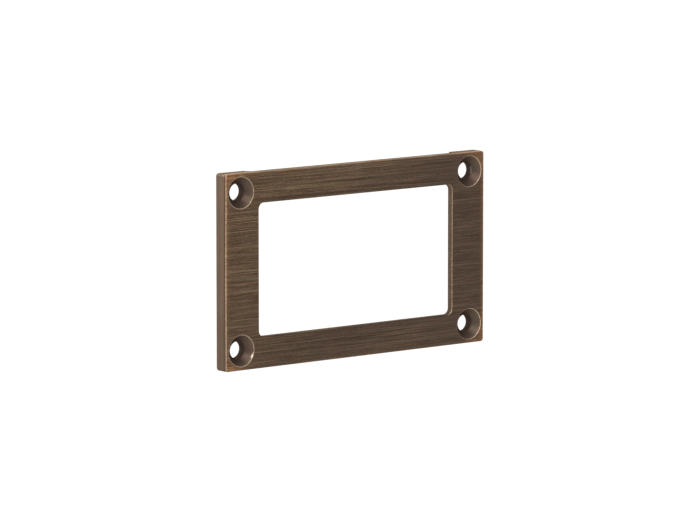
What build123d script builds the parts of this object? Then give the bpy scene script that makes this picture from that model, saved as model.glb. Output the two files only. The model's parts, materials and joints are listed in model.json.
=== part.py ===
from build123d import *
import os

# Label holder for a drawer front: a flat brass frame that is screwed on at its four corners.
# A card slides down into the pocket in its back and shows through the window.
# Millimetres. The origin is the middle of the back face, +Z is up and the front faces -Y.

# Plate
plate_width = 76.0
plate_height = 45.0
plate_thickness = 3.5
corner_radius = 0.7
edge_radius = 0.3  # soft rounding of the outer edges, front and back

# Window
stile_width = 9.65  # bars left and right of the window
rail_height = 7.2  # bars above and below the window
window_corner_radius = 1.4
window_edge_radius = 0.2  # rounding of the window's front edge

# Card pocket, open at the top
lip_thickness = 1.5  # metal in front of the card
card_overlap = 1.9  # how far the lip covers the card's sides and foot
pocket_corner_radius = 2.0
pocket_fillet = 1.6  # rounding where the lip meets the pocket's walls

# Countersunk screw holes
screw_bore_diameter = 4.0
screw_head_diameter = 7.3
countersink_angle = 90.0
rim_margin = 0.85  # metal between a countersink's rim and the plate's edges
rim_radius = 0.25  # rounding of the countersinks' rims

cut_clearance = 1.0  # how far the pocket's cut runs past the top edge

# Places and sizes that follow
window_width = plate_width - 2 * stile_width
window_height = plate_height - 2 * rail_height
pocket_width = window_width + 2 * card_overlap
pocket_depth = plate_thickness - lip_thickness
pocket_floor = -window_height / 2 - card_overlap
pocket_top = plate_height / 2 + cut_clearance
screw_inset = screw_head_diameter / 2 + rim_margin
screw_spacing_x = plate_width - 2 * screw_inset
screw_spacing_z = plate_height - 2 * screw_inset

back_plane = Plane.XZ
front_plane = Plane.XZ.offset(plate_thickness)

os.makedirs("parts", exist_ok=True)

with BuildPart() as label_frame:
    # Plate, from the back face towards the front
    with BuildSketch(back_plane):
        RectangleRounded(plate_width, plate_height, corner_radius)
    extrude(amount=plate_thickness)
    fillet(label_frame.faces().filter_by(Axis.Y).edges(), edge_radius)

    # Card pocket: closed at both sides and at its foot, open at the top and the back
    with BuildSketch(back_plane) as pocket_outline:
        with Locations((0, pocket_floor)):
            Rectangle(pocket_width, pocket_top - pocket_floor, align=(Align.CENTER, Align.MIN))
        fillet(pocket_outline.vertices().group_by(Axis.Y)[0], pocket_corner_radius)
    extrude(amount=pocket_depth, mode=Mode.SUBTRACT)
    lip_back = label_frame.faces().filter_by(Axis.Y).sort_by(Axis.Y)[1]
    fillet(lip_back.edges().sort_by(Axis.Z)[:-1], pocket_fillet)

    # Window through the lip
    with BuildSketch(back_plane):
        RectangleRounded(window_width, window_height, window_corner_radius)
    extrude(amount=plate_thickness, mode=Mode.SUBTRACT)
    window_rim = label_frame.faces().sort_by(Axis.Y)[0].inner_wires()[0]
    fillet(window_rim.edges(), window_edge_radius)

    # Screw holes, countersunk from the front
    with Locations(front_plane):
        with GridLocations(screw_spacing_x, screw_spacing_z, 2, 2):
            CounterSinkHole(
                radius=screw_bore_diameter / 2,
                counter_sink_radius=screw_head_diameter / 2,
                counter_sink_angle=countersink_angle,
            )
    front_face = label_frame.faces().sort_by(Axis.Y)[0]
    screw_rims = front_face.inner_wires().group_by(SortBy.LENGTH)[0]
    fillet(screw_rims.edges(), rim_radius)

label_frame.part.label = "label_frame"
export_step(label_frame.part, "parts/label_frame.step")
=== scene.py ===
import bpy
import json
import math
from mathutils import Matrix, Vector


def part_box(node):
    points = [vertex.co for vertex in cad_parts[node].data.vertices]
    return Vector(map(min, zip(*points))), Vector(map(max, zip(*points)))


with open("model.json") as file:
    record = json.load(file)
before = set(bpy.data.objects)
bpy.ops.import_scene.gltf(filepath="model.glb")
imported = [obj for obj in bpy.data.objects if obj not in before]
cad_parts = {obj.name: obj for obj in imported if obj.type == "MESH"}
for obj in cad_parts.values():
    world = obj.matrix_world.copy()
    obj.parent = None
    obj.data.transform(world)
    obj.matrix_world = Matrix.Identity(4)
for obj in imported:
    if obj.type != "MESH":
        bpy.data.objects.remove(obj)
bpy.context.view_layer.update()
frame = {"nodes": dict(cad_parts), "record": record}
labelFrame = frame["nodes"]["label_frame"]
plateLow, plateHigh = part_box("label_frame")
plateMiddle = (plateLow + plateHigh) / 2
screwPattern = next(m for m in frame["record"]["mounts"] if m["name"] == "screw_holes")["dims"]
mm = 1000.0  # the frame is in metres, the bronze's patterns are in millimetres
print("frame loaded:", labelFrame.name)

scene = bpy.context.scene
scene.view_settings.view_transform = "Standard"


# helpers for wiring shader nodes

def plug(tree, value, socket):  # wires a socket, or types a plain value in
    if isinstance(value, bpy.types.NodeSocket):
        tree.links.new(value, socket)
    else:
        socket.default_value = value


def calc(tree, operation, a, b=0.0, clamp=False):
    node = tree.nodes.new("ShaderNodeMath")
    node.operation = operation
    node.use_clamp = clamp
    plug(tree, a, node.inputs[0])
    plug(tree, b, node.inputs[1])
    return node.outputs[0]


def add(tree, *terms):
    total = terms[0]
    for term in terms[1:]:
        total = calc(tree, "ADD", total, term)
    return total


def times(tree, *factors):
    product = factors[0]
    for factor in factors[1:]:
        product = calc(tree, "MULTIPLY", product, factor)
    return product


def length(tree, a, b):  # of a flat vector
    return calc(tree, "SQRT", add(tree, times(tree, a, a), times(tree, b, b)))


def rise(tree, value, low, high, bottom=0.0, top=1.0):  # smooth step from bottom up to top
    node = tree.nodes.new("ShaderNodeMapRange")
    node.interpolation_type = "SMOOTHSTEP"
    plug(tree, value, node.inputs["Value"])
    node.inputs["From Min"].default_value = low
    node.inputs["From Max"].default_value = high
    node.inputs["To Min"].default_value = bottom
    node.inputs["To Max"].default_value = top
    return node.outputs["Result"]


def fall(tree, value, low, high):  # one below low, nothing above high
    return rise(tree, value, low, high, 1.0, 0.0)


def between(tree, value, low, high, soft):  # one from low to high, with soft ends
    return times(tree, rise(tree, value, low - soft, low), fall(tree, value, high, high + soft))


def stretch(tree, noise, spread):  # noise about nought made to run from nothing to one
    return rise(tree, noise, -spread, spread)


def mixValues(tree, amount, first, second):
    node = tree.nodes.new("ShaderNodeMix")
    plug(tree, amount, node.inputs[0])
    plug(tree, first, node.inputs[2])  # the mix node's plain numbers
    plug(tree, second, node.inputs[3])
    return node.outputs[0]


def mixColours(tree, amount, first, second):
    node = tree.nodes.new("ShaderNodeMix")
    node.data_type = "RGBA"
    plug(tree, amount, node.inputs[0])
    for socket, colour in ((node.inputs[6], first), (node.inputs[7], second)):  # its colours
        plug(tree, colour if isinstance(colour, bpy.types.NodeSocket) else (*colour, 1.0), socket)
    return node.outputs[2]


def vectorCalc(tree, operation, a, b=(0.0, 0.0, 0.0)):
    node = tree.nodes.new("ShaderNodeVectorMath")
    node.operation = operation
    plug(tree, a, node.inputs[0])
    plug(tree, b, node.inputs[1])
    return node.outputs


def brighten(tree, colour, gain):
    node = tree.nodes.new("ShaderNodeVectorMath")
    node.operation = "SCALE"
    plug(tree, colour, node.inputs[0])
    plug(tree, gain, node.inputs["Scale"])
    return node.outputs["Vector"]


def tint(tree, colour, factors):
    return vectorCalc(tree, "MULTIPLY", colour, factors)["Vector"]


def grain(tree, coords, cell, turn=0.0, detail=2.0):  # noise about nought, turned by degrees
    mapping = tree.nodes.new("ShaderNodeMapping")
    mapping.vector_type = "TEXTURE"
    mapping.inputs["Scale"].default_value = cell
    mapping.inputs["Rotation"].default_value = (0.0, math.radians(turn), 0.0)
    tree.links.new(coords, mapping.inputs["Vector"])
    noise = tree.nodes.new("ShaderNodeTexNoise")
    noise.inputs["Scale"].default_value = 1.0
    noise.inputs["Detail"].default_value = detail
    tree.links.new(mapping.outputs["Vector"], noise.inputs["Vector"])
    return calc(tree, "SUBTRACT", noise.outputs["Fac"], 0.5)


def closeTo(tree, place, middle, halfSize, core):  # one in the core, nothing past the half sizes
    offset = vectorCalc(tree, "SUBTRACT", place, middle)["Vector"]
    share = vectorCalc(tree, "DIVIDE", offset, halfSize)["Vector"]
    return fall(tree, vectorCalc(tree, "LENGTH", share)["Value"], core, 1.0)


# brushed antique bronze on the label frame, lengths in millimetres
# ramps are given as from, to, and where they differ from nothing and one, the values before and after
bronze = {
    "stileWidth": 9.65,                         # bars left and right of the window
    "railHeight": 7.2,                          # bars above and below it
    "windowCorner": 1.4,
    "rimRadius": 3.65,                          # countersink at the front face
    "coneDepth": 1.65,                          # from the front face down to the bore

    "warmLitPatina": (0.106, 0.0685, 0.0440),      # upper left, lighter: patina with painted light
    "coolShadedPatina": (0.0775, 0.0520, 0.0395),     # lower right, darker: patina with painted shade
    "reddish": (1.07, 0.95, 0.95),              # drift of the patina's hue
    "olive": (0.95, 1.04, 0.93),
    "scratch": (0.27, 0.195, 0.115),            # long light hairlines
    "sidePatinaLit": (0.143, 0.100, 0.077),        # outer faces, patina painted lighter than the front as if lit from the side
    "innerPatina": (0.135, 0.095, 0.067),       # window walls, pocket and back
    "conePatina": (0.090, 0.063, 0.050),
    "borePatina": (0.051, 0.035, 0.027),
    "wornOrange": (0.325, 0.175, 0.075),        # two tones of thin patina
    "wornRed": (0.225, 0.107, 0.060),
    "wornBrassAndSheen": (0.56, 0.41, 0.285),           # edges and rims, worn brass and painted highlight
    "bareBrassGlint": (0.93, 0.85, 0.72),            # small spots, bare brass painted bright as glints
    "edgeShade": (0.045, 0.030, 0.024),         # dark line behind the bright left edge
    "metallic": 0.85,
    "edgeTint": (0.55, 0.44, 0.35),             # what grazing light takes on
    "roughness": {"front": 0.43, "side": 0.40, "inner": 0.65, "cone": 0.50, "bore": 0.60, "worn": 0.44,
                  "bare": 0.25},
    "strokeRoughness": 0.3,                     # how much the strokes change the front's
    "bumpHeight": 0.000010,                     # metres
    "bumpShare": {"inner": 0.5, "outer": 0.5, "cone": 0.3},

    "zones": {                                  # where the parts of the surface fade
        "front": (0.06, 0.28),                  # behind the front face
        "pastFront": (0.05, 0.28),
        "outer": (0.02, 0.20),                  # inwards from the outer faces
        "cone": (0.05, 0.15),                   # outside the countersink's cone
        "coneTop": (0.06, 0.12),
        "bore": (-0.35, 0.10),                  # beyond the cone's foot
        "stile": (-2.0, 2.0)},                  # beside the window

    "cells": {                                  # size of each noise along x, y and z
        "wave": (40.0, 8.0, 9.0),
        "hairlines": (40.0, 2.0, 0.14),
        "crossing": (6.0, 2.0, 0.14),
        "ticks": (0.6, 2.0, 0.14),
        "bands": (45.0, 4.0, 1.2),
        "scratches": (22.0, 2.0, 0.15),
        "blotches": (9.0, 9.0, 9.0),
        "hue": (4.0, 4.0, 0.45),
        "sideHue": (1.2, 0.9, 3.0),
        "sideLines": (0.6, 0.45, 30.0),
        "endLines": (9.0, 0.40, 0.60),
        "clouds": (1.4, 1.4, 1.4),
        "turning": (0.18, 1.0, 1.0),            # along a countersink's radius
        "patches": (1.6, 1.0, 0.45),
        "gaps": (0.5, 0.5, 0.5)},

    "waveHeight": 0.4,
    "strokeTurn": {"hairlines": 0.2, "crossing": -0.5, "scratches": -0.2},      # degrees
    "strokeShare": {                            # on the rails, on the stiles
        "hairlines": (0.55, 0.38), "crossing": (0.28, 0.55), "ticks": (0.28, 0.34), "bands": (0.07, 0.07)},
    "brushDepth": 3.6,                          # strength of the strokes
    # strokes stronger towards the upper left: painted light catching them
    "depthByWarmth": (0.0, 1.0, 0.80, 1.25),
    "depthBesideWindow": (-10.0, 4.0, 1.25, 0.9),
    # front lighter and warmer towards the upper left: patina tone with painted light from that side
    "warmthAndLight": {"middle": 0.45, "alongX": -0.0125, "alongZ": 0.0078, "blotches": 0.5, "power": 1.7},
    "hueSpread": 0.28,
    "sideHueSpread": 0.25,
    "scratchLevel": (0.15, 0.26),
    "scratchByWarmth": (0.0, 0.8, 0.25, 0.65),
    "outerTone": {"side": 1.0, "end": 0.85, "lines": 0.9, "blotches": 0.4, "alongZ": 0.002},
    "innerClouds": 0.9,
    # the cone is painted darker towards its foot as painted shade, and lighter at its upper right as
    # painted reflection
    "coneTone": {"foot": 0.76, "rim": 0.98, "turning": 0.25, "clouds": 0.4},
    "conePaintedSheen": (0.0, 3.0, 0.0, 0.5),         # painted reflection, lighter towards its upper right
    "coneSlant": 0.4,

    "wear": {
        "edges": {                              # strengths of bright line and orange fringe; the bright lines are worn brass and partly painted highlight
            "left": {"line": 1.0, "from": 0.09, "to": 0.26, "fringe": 1.0, "reach": 2.3},
            "right": {"line": 0.10, "from": -0.10, "to": 0.20, "fringe": 0.90, "reach": 2.0},
            "top": {"line": 0.80, "from": -0.70, "to": 0.0, "fringe": 0.40, "reach": 1.1},
            "bottom": {"fringe": 0.70, "reach": 0.9}},
        "lineSoft": 0.12,
        "lineReach": (0.40, 0.55),              # inwards from the edge
        "lineWobble": 0.25,
        "lineAlongZ": (0.0, 20.0, 0.0, -0.13),
        "topLineEnds": (6.0, 12.0, 1.4, 1.0),   # brighter towards the corners
        "gaps": (-0.22, 0.20, 0.45, 1.05),      # breaks in lines and rims
        "ragged": 2.2,                          # how far the strokes tear fringes and corners
        "dashes": (-0.20, 0.26, 0.15, 1.75),
        "patchSpread": 0.16,
        "fringeStart": 0.10,
        "fringeAlongX": (-34.0, -10.0),
        "fringeAlongZ": (-14.0, 8.0, 0.45, 1.0),
        "cornerReach": (2.0, 8.0),              # orange between screw holes and plate corners
        "cornerRagged": 2.0,
        "cornersAlongX": (-30.0, 30.0, 1.0, 0.52),
        "cornersAlongZ": (-14.0, 8.0, 0.75, 1.0),
        "endReach": (2.0, 9.0),                 # ends of the top and bottom faces
        "endStrength": 0.45,
        "cornerEdges": (0.25, 0.58),            # rounded corners, through the thickness
        "cornerEdgesAlongZ": (0.0, 10.0, 0.10, 0.45),
        "shade": (-0.32, -0.12, 0.12),          # from, to, softness
        "shadeReach": (0.2, 0.3),
        "shadeStrength": 0.75,
        "rim": (-0.05, 0.03, 0.07),             # outside the rim's radius: from, to, softness
        "rimDepth": (0.25, 0.40),
        "leftRims": 0.85,
        "rightRimsLitSide": (-1.5, 3.5, 0.35, 1.2),    # stronger on their right, the side facing the light: worn brass and painted highlight
        "rimsAlongX": (-10.0, 10.0),
        "window": (-0.02, 0.07, 0.08),          # from, to, softness
        "windowDepth": (0.22, 0.34),
        "windowLitEdge": (-1.8, -0.3),            # only along its right edge, which faces the light: painted highlight
        "glintSpots": (                              # middle, half sizes, ring around the hole, strength
            ((-30.35, -3.35, -19.35), (0.6, 0.5, 0.85), (3.44, 3.52), 0.48),    # lower left rim, a nick painted as a bright glint
            ((35.45, -1.85, 18.10), (0.6, 0.5, 1.4), (1.92, 2.0), 0.18)),       # upper right bore, its edge painted as a highlight
        "spotCore": 0.4,
        "spotSoft": 0.15},
}


def bronzeMaterial(values):
    material = bpy.data.materials.new("antiqueBronze")
    material.use_nodes = True
    tree = material.node_tree
    shader = tree.nodes["Principled BSDF"]
    zones, cells, wear, rough = (values[k] for k in ("zones", "cells", "wear", "roughness"))

    # place on the plate in millimetres
    texture = tree.nodes.new("ShaderNodeTexCoord")
    place = brighten(tree, texture.outputs["Object"], mm)
    split = tree.nodes.new("ShaderNodeSeparateXYZ")
    tree.links.new(place, split.inputs[0])
    x, y, z = split.outputs
    absX = calc(tree, "ABSOLUTE", x)
    absZ = calc(tree, "ABSOLUTE", z)
    fromFront = calc(tree, "SUBTRACT", y, plateLow.y * mm)
    fromEdge = {
        "left": calc(tree, "SUBTRACT", x, plateLow.x * mm),
        "right": calc(tree, "SUBTRACT", plateHigh.x * mm, x),
        "top": calc(tree, "SUBTRACT", plateHigh.z * mm, z),
        "bottom": calc(tree, "SUBTRACT", z, plateLow.z * mm),
    }
    fromSide = calc(tree, "MINIMUM", fromEdge["left"], fromEdge["right"])
    fromEnd = calc(tree, "MINIMUM", fromEdge["top"], fromEdge["bottom"])
    fromCorner = length(tree, fromSide, fromEnd)

    # place about the nearest screw hole and the window
    rim = values["rimRadius"]
    coneDepth = values["coneDepth"]
    holeX = times(tree, calc(tree, "SIGN", x), screwPattern["spacing_x_mm"] / 2)
    holeZ = times(tree, calc(tree, "SIGN", z), screwPattern["spacing_y_mm"] / 2)
    rightOfHole = calc(tree, "SUBTRACT", x, holeX)
    aboveHole = calc(tree, "SUBTRACT", z, holeZ)
    fromHole = length(tree, rightOfHole, aboveHole)
    fromRim = calc(tree, "SUBTRACT", fromHole, rim)
    outsideCone = add(tree, fromRim, calc(tree, "MINIMUM", fromFront, coneDepth))  # then outside the bore
    pastCone = calc(tree, "SUBTRACT", fromFront, coneDepth)
    corner = values["windowCorner"]
    halfWidth = plateHigh.x * mm - values["stileWidth"]
    halfHeight = plateHigh.z * mm - values["railHeight"]
    beside = calc(tree, "MAXIMUM", calc(tree, "SUBTRACT", absX, halfWidth - corner), 0.0)
    above = calc(tree, "MAXIMUM", calc(tree, "SUBTRACT", absZ, halfHeight - corner), 0.0)
    fromWindow = calc(tree, "SUBTRACT", length(tree, beside, above), corner)
    besideWindow = calc(tree, "SUBTRACT", absX, halfWidth)
    rightOfWindow = calc(tree, "SUBTRACT", x, halfWidth)

    # zones of the surface
    inHole = times(tree, fall(tree, outsideCone, *zones["cone"]), rise(tree, fromFront, *zones["coneTop"]))
    inBore = times(tree, inHole, rise(tree, pastCone, *zones["bore"]))
    notInHole = calc(tree, "SUBTRACT", 1.0, inHole)
    onFront = times(tree, fall(tree, fromFront, *zones["front"]), notInHole)
    pastFront = rise(tree, fromFront, *zones["pastFront"])
    onSide = times(tree, fall(tree, fromSide, *zones["outer"]), pastFront)
    onEnd = times(tree, fall(tree, fromEnd, *zones["outer"]), pastFront)
    onStile = rise(tree, besideWindow, *zones["stile"])

    # brush lines along the plate, a little wavy
    wave = times(tree, grain(tree, place, cells["wave"], detail=1.0), values["waveHeight"])
    wavy = tree.nodes.new("ShaderNodeCombineXYZ")
    plug(tree, x, wavy.inputs["X"])
    plug(tree, y, wavy.inputs["Y"])
    plug(tree, add(tree, z, wave), wavy.inputs["Z"])
    brushed = wavy.outputs["Vector"]
    turn = values["strokeTurn"]
    lines = {
        "hairlines": grain(tree, brushed, cells["hairlines"], turn["hairlines"], detail=1.0),
        "crossing": grain(tree, brushed, cells["crossing"], turn["crossing"], detail=1.0),
        "ticks": grain(tree, brushed, cells["ticks"], detail=1.0),
        "bands": grain(tree, brushed, cells["bands"]),
    }
    strokes = add(tree, *(times(tree, line, mixValues(tree, onStile, *values["strokeShare"][name]))
                          for name, line in lines.items()))
    scratches = grain(tree, brushed, cells["scratches"], turn["scratches"], detail=0.0)

    # patina, warmer towards the upper left, with painted light there: lighter and with stronger brush
    # strokes
    slope = values["warmthAndLight"]
    blotches = grain(tree, place, cells["blotches"], detail=3.0)
    warmthAndLight = add(tree, slope["middle"], times(tree, x, slope["alongX"]), times(tree, z, slope["alongZ"]),
                 times(tree, blotches, slope["blotches"]))
    warmthAndLight = calc(tree, "POWER", calc(tree, "MAXIMUM", warmthAndLight, 0.0), slope["power"], clamp=True)
    # brush strokes stronger towards the upper left: painted light catching them
    depth = times(tree, rise(tree, warmthAndLight, *values["depthByWarmth"]),
                  rise(tree, besideWindow, *values["depthBesideWindow"]), values["brushDepth"])
    drift = stretch(tree, grain(tree, brushed, cells["hue"], detail=1.0), values["hueSpread"])
    hue = mixColours(tree, drift, values["olive"], values["reddish"])
    frontColour = tint(tree, mixColours(tree, warmthAndLight, values["coolShadedPatina"], values["warmLitPatina"]), hue)
    frontColour = brighten(tree, frontColour, calc(tree, "EXPONENT", times(tree, strokes, depth)))
    scratched = times(tree, rise(tree, scratches, *values["scratchLevel"]),
                      rise(tree, warmthAndLight, *values["scratchByWarmth"]))
    frontColour = mixColours(tree, scratched, frontColour, values["scratch"])

    # outer faces smoother and painted lighter as if lit from the side, plain inner walls, turned
    # countersinks painted darker towards the foot as painted shade
    tone = values["outerTone"]
    sideLines = grain(tree, place, cells["sideLines"])
    endLines = grain(tree, place, cells["endLines"])
    mottled = times(tree, blotches, tone["blotches"])
    sideGain = add(tree, tone["side"], times(tree, sideLines, tone["lines"]), mottled,
                   times(tree, z, tone["alongZ"]))
    endGain = add(tree, tone["end"], times(tree, endLines, tone["lines"]), mottled)
    drift = stretch(tree, grain(tree, place, cells["sideHue"], detail=1.0), values["sideHueSpread"])
    sideHue = mixColours(tree, drift, values["olive"], values["reddish"])
    sideColour = tint(tree, brighten(tree, values["sidePatinaLit"], sideGain), sideHue)
    endColour = tint(tree, brighten(tree, values["sidePatinaLit"], endGain), sideHue)
    clouds = grain(tree, place, cells["clouds"], detail=4.0)
    innerGain = add(tree, 1.0, times(tree, clouds, values["innerClouds"]))
    innerColour = brighten(tree, values["innerPatina"], innerGain)
    tone = values["coneTone"]
    rings = tree.nodes.new("ShaderNodeCombineXYZ")
    plug(tree, fromHole, rings.inputs["X"])
    turning = grain(tree, rings.outputs["Vector"], cells["turning"])
    # painted reflection on the cone's upper right, painted shade towards its foot
    slant = add(tree, times(tree, rightOfHole, values["coneSlant"]), aboveHole)
    coneGain = add(tree, rise(tree, fromRim, -coneDepth, 0.0, tone["foot"], tone["rim"]),
                   times(tree, turning, tone["turning"]), times(tree, clouds, tone["clouds"]),
                   rise(tree, slant, *values["conePaintedSheen"]))
    coneColour = tint(tree, brighten(tree, values["conePatina"], coneGain), sideHue)
    frontGloss = add(tree, rough["front"], times(tree, strokes, values["strokeRoughness"]))
    colour, gloss = innerColour, rough["inner"]
    for zone, zoneColour, zoneGloss in (
            (onEnd, endColour, rough["side"]),
            (onSide, sideColour, rough["side"]),
            (onFront, frontColour, frontGloss),
            (inHole, coneColour, rough["cone"]),
            (inBore, values["borePatina"], rough["bore"])):
        colour = mixColours(tree, zone, colour, zoneColour)
        gloss = mixValues(tree, zone, gloss, zoneGloss)

    # corners and ends where the patina is thin
    torn = add(tree, lines["hairlines"], lines["crossing"], lines["ticks"])
    ragged = times(tree, torn, wear["ragged"])
    dashes = rise(tree, torn, *wear["dashes"])
    patches = stretch(tree, grain(tree, place, cells["patches"]), wear["patchSpread"])
    thinPatina = mixColours(tree, patches, values["wornOrange"], values["wornRed"])
    rubbedEnds = times(tree, fall(tree, fromSide, *wear["endReach"]), onEnd, wear["endStrength"])
    colour = mixColours(tree, rubbedEnds, colour, thinPatina)
    cornerEdges = times(tree, fall(tree, fromCorner, *wear["cornerEdges"]), pastFront,
                        rise(tree, z, *wear["cornerEdgesAlongZ"]))
    colour = mixColours(tree, cornerEdges, colour, values["wornBrassAndSheen"])
    toCorner = add(tree, fromCorner, times(tree, ragged, wear["cornerRagged"]))
    rubbedCorners = times(tree, fall(tree, toCorner, *wear["cornerReach"]), onFront,
                          rise(tree, x, *wear["cornersAlongX"]),
                          rise(tree, z, *wear["cornersAlongZ"]), dashes)
    colour = mixColours(tree, rubbedCorners, colour, thinPatina)

    # edges worn through, their bright lines partly painted highlight, strongest on the left edge facing
    # the light: across runs from the outer face, below nought, on to the front
    fringed = calc(tree, "MAXIMUM", rise(tree, z, *wear["fringeAlongZ"]),
                   rise(tree, x, *wear["fringeAlongX"]))
    broken = rise(tree, grain(tree, place, cells["gaps"], detail=1.0), *wear["gaps"])
    streaked = times(tree, rise(tree, endLines, *wear["gaps"]), rise(tree, fromSide, *wear["topLineEnds"]))
    uneven = add(tree, times(tree, lines["ticks"], wear["lineWobble"]), rise(tree, z, *wear["lineAlongZ"]))
    for name, edge in wear["edges"].items():
        across = calc(tree, "SUBTRACT", fromEdge[name], fromFront)
        fringe = fall(tree, add(tree, across, ragged), wear["fringeStart"], edge["reach"])
        fringe = times(tree, fringe, fringe, fringe, onFront, fringed, edge["fringe"], dashes)
        colour = mixColours(tree, fringe, colour, thinPatina)
        if "line" not in edge:
            continue
        wobble, gaps = (uneven, broken) if name in ("left", "right") else (endLines, streaked)
        line = between(tree, add(tree, across, wobble), edge["from"], edge["to"], wear["lineSoft"])
        line = times(tree, line, notInHole, fall(tree, fromEdge[name], *wear["lineReach"]),
                     edge["line"], gaps)
        colour = mixColours(tree, line, colour, values["wornBrassAndSheen"])
        gloss = mixValues(tree, line, gloss, rough["worn"])
    across = calc(tree, "SUBTRACT", fromEdge["left"], fromFront)
    shade = times(tree, between(tree, across, *wear["shade"]),
                  fall(tree, fromEdge["left"], *wear["shadeReach"]), wear["shadeStrength"])
    colour = mixColours(tree, shade, colour, values["edgeShade"])

    # rubbed rims of the countersinks with painted highlight on their right, painted highlight on the right
    # front edge of the window, and bare spots painted bright as glints
    rimMask = times(tree, between(tree, fromRim, *wear["rim"]),
                    fall(tree, fromFront, *wear["rimDepth"]), broken,
                    mixValues(tree, rise(tree, x, *wear["rimsAlongX"]), wear["leftRims"],
                              rise(tree, rightOfHole, *wear["rightRimsLitSide"])))
    acrossWindow = calc(tree, "SUBTRACT", fromWindow, fromFront)
    windowMask = times(tree, between(tree, acrossWindow, *wear["window"]),
                       fall(tree, fromFront, *wear["windowDepth"]),
                       rise(tree, rightOfWindow, *wear["windowLitEdge"]), broken)
    for mask in (rimMask, windowMask):
        colour = mixColours(tree, mask, colour, values["wornBrassAndSheen"])
        gloss = mixValues(tree, mask, gloss, rough["worn"])
    for middle, halfSize, ring, strength in wear["glintSpots"]:
        spot = times(tree, closeTo(tree, place, middle, halfSize, wear["spotCore"]),
                     between(tree, fromHole, *ring, wear["spotSoft"]), broken, strength)
        colour = mixColours(tree, spot, colour, values["bareBrassGlint"])
        gloss = mixValues(tree, spot, gloss, rough["bare"])

    bumpShare = values["bumpShare"]
    relief = mixValues(tree, onFront, times(tree, clouds, bumpShare["inner"]), strokes)
    relief = mixValues(tree, onEnd, relief, times(tree, endLines, bumpShare["outer"]))
    relief = mixValues(tree, onSide, relief, times(tree, sideLines, bumpShare["outer"]))
    relief = mixValues(tree, inHole, relief, times(tree, turning, bumpShare["cone"]))
    bump = tree.nodes.new("ShaderNodeBump")
    bump.inputs["Distance"].default_value = values["bumpHeight"]
    plug(tree, relief, bump.inputs["Height"])
    plug(tree, bump.outputs["Normal"], shader.inputs["Normal"])
    plug(tree, colour, shader.inputs["Base Color"])
    plug(tree, gloss, shader.inputs["Roughness"])
    shader.inputs["Metallic"].default_value = values["metallic"]
    shader.inputs["Specular Tint"].default_value = (*values["edgeTint"], 1.0)
    return material


bronzeFinish = bronzeMaterial(bronze)
for slot in labelFrame.material_slots:
    slot.material = bronzeFinish
print("bronze finish on the label frame")


# white studio: floor well below the frame, soft sun from the upper left, weak lamp for the left side
studio = {
    "floorDrop": 0.045,             # metres below the frame's lower edge
    "floorSize": 6.0,
    "floorGlow": 0.62,              # keeps the floor white around the shadow
    "floorColour": 0.5,
    "floorRoughness": 0.9,
    "ambient": 0.55,                # what matt surfaces get from the surroundings
    "sunFrom": (-0.50, -0.60, 0.62),
    "sunStrength": 1.6,
    "sunAngle": 40.0,               # degrees, softness of the shadow
    "sideLampAt": (-0.45, 0.28, 0.06),
    "sideLampSize": 0.35,
    "sideLampPower": 0.35,          # watts
}


def seenDirectly(tree):  # camera, glossy and transmission rays all see the white surroundings
    rays = tree.nodes.new("ShaderNodeLightPath")
    seen = calc(tree, "ADD", rays.outputs["Is Camera Ray"], rays.outputs["Is Glossy Ray"], clamp=True)
    return calc(tree, "ADD", seen, rays.outputs["Is Transmission Ray"], clamp=True)


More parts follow.
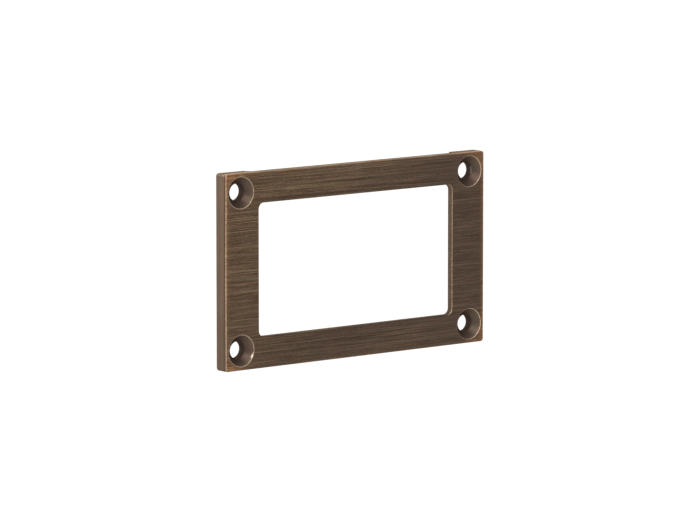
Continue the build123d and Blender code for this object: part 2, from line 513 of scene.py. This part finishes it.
def addStudio(values):
    world = bpy.data.worlds.new("whiteStudio")
    world.use_nodes = True
    scene.world = world
    tree = world.node_tree
    background = tree.nodes["Background"]
    background.inputs["Color"].default_value = (1.0, 1.0, 1.0, 1.0)
    strength = rise(tree, seenDirectly(tree), 0.0, 1.0, values["ambient"], 1.0)
    plug(tree, strength, background.inputs["Strength"])

    bpy.ops.object.select_all(action="DESELECT")
    floorPlace = (0, 0, plateLow.z - values["floorDrop"])
    bpy.ops.mesh.primitive_plane_add(size=values["floorSize"], location=floorPlace)
    floor = bpy.context.object
    floor.name = "studioFloor"
    paper = bpy.data.materials.new("whitePaper")
    paper.use_nodes = True
    tree = paper.node_tree
    shader = tree.nodes["Principled BSDF"]
    shader.inputs["Base Color"].default_value = (values["floorColour"],) * 3 + (1.0,)
    shader.inputs["Roughness"].default_value = values["floorRoughness"]
    shader.inputs["Specular IOR Level"].default_value = 0.0
    shader.inputs["Emission Color"].default_value = (1.0, 1.0, 1.0, 1.0)
    plug(tree, times(tree, seenDirectly(tree), values["floorGlow"]), shader.inputs["Emission Strength"])
    floor.data.materials.append(paper)

    sunFrom = Vector(values["sunFrom"])
    bpy.ops.object.light_add(type="SUN", location=sunFrom)
    sun = bpy.context.object
    sun.name = "softSun"
    sun.rotation_euler = sunFrom.to_track_quat("Z", "Y").to_euler()
    sun.data.energy = values["sunStrength"]
    sun.data.angle = math.radians(values["sunAngle"])

    lampFrom = Vector(values["sideLampAt"])
    bpy.ops.object.light_add(type="AREA", location=lampFrom)
    lamp = bpy.context.object
    lamp.name = "sideLamp"
    lamp.rotation_euler = lampFrom.to_track_quat("Z", "Y").to_euler()
    lamp.data.size = values["sideLampSize"]
    lamp.data.energy = values["sideLampPower"]
    lamp.visible_camera = False


addStudio(studio)
print("studio lit")


# camera, fitted to the photograph
cameraSetup = {
    "azimuth": -38.60,              # degrees, from the left of the front
    "elevation": 7.77,
    "distance": 1.1745,             # metres from the front face
    "lens": 262.99,                 # long lens, little perspective
    "sensorWidth": 36.0,
    "slideRight": 0.001617,         # how far the object sits right of the image's middle
    "slideUp": 0.000646,
    "clipStart": 0.05,
    "clipEnd": 20.0,
}


def addCamera(values):
    azimuth = math.radians(values["azimuth"])
    elevation = math.radians(values["elevation"])
    back = Vector((math.sin(azimuth) * math.cos(elevation), -math.cos(azimuth) * math.cos(elevation),
                   math.sin(elevation)))
    right = Vector((math.cos(azimuth), math.sin(azimuth), 0.0))
    up = back.cross(right)
    frontMiddle = Vector((plateMiddle.x, plateLow.y, plateMiddle.z))
    aim = frontMiddle - right * values["slideRight"] - up * values["slideUp"]
    bpy.ops.object.select_all(action="DESELECT")
    bpy.ops.object.camera_add(location=aim + back * values["distance"])
    camera = bpy.context.object
    camera.name = "photoCamera"
    camera.rotation_euler = (-back).to_track_quat("-Z", "Y").to_euler()
    camera.data.lens = values["lens"]
    camera.data.sensor_width = values["sensorWidth"]
    camera.data.clip_start = values["clipStart"]
    camera.data.clip_end = values["clipEnd"]
    scene.camera = camera


addCamera(cameraSetup)
print("camera placed")
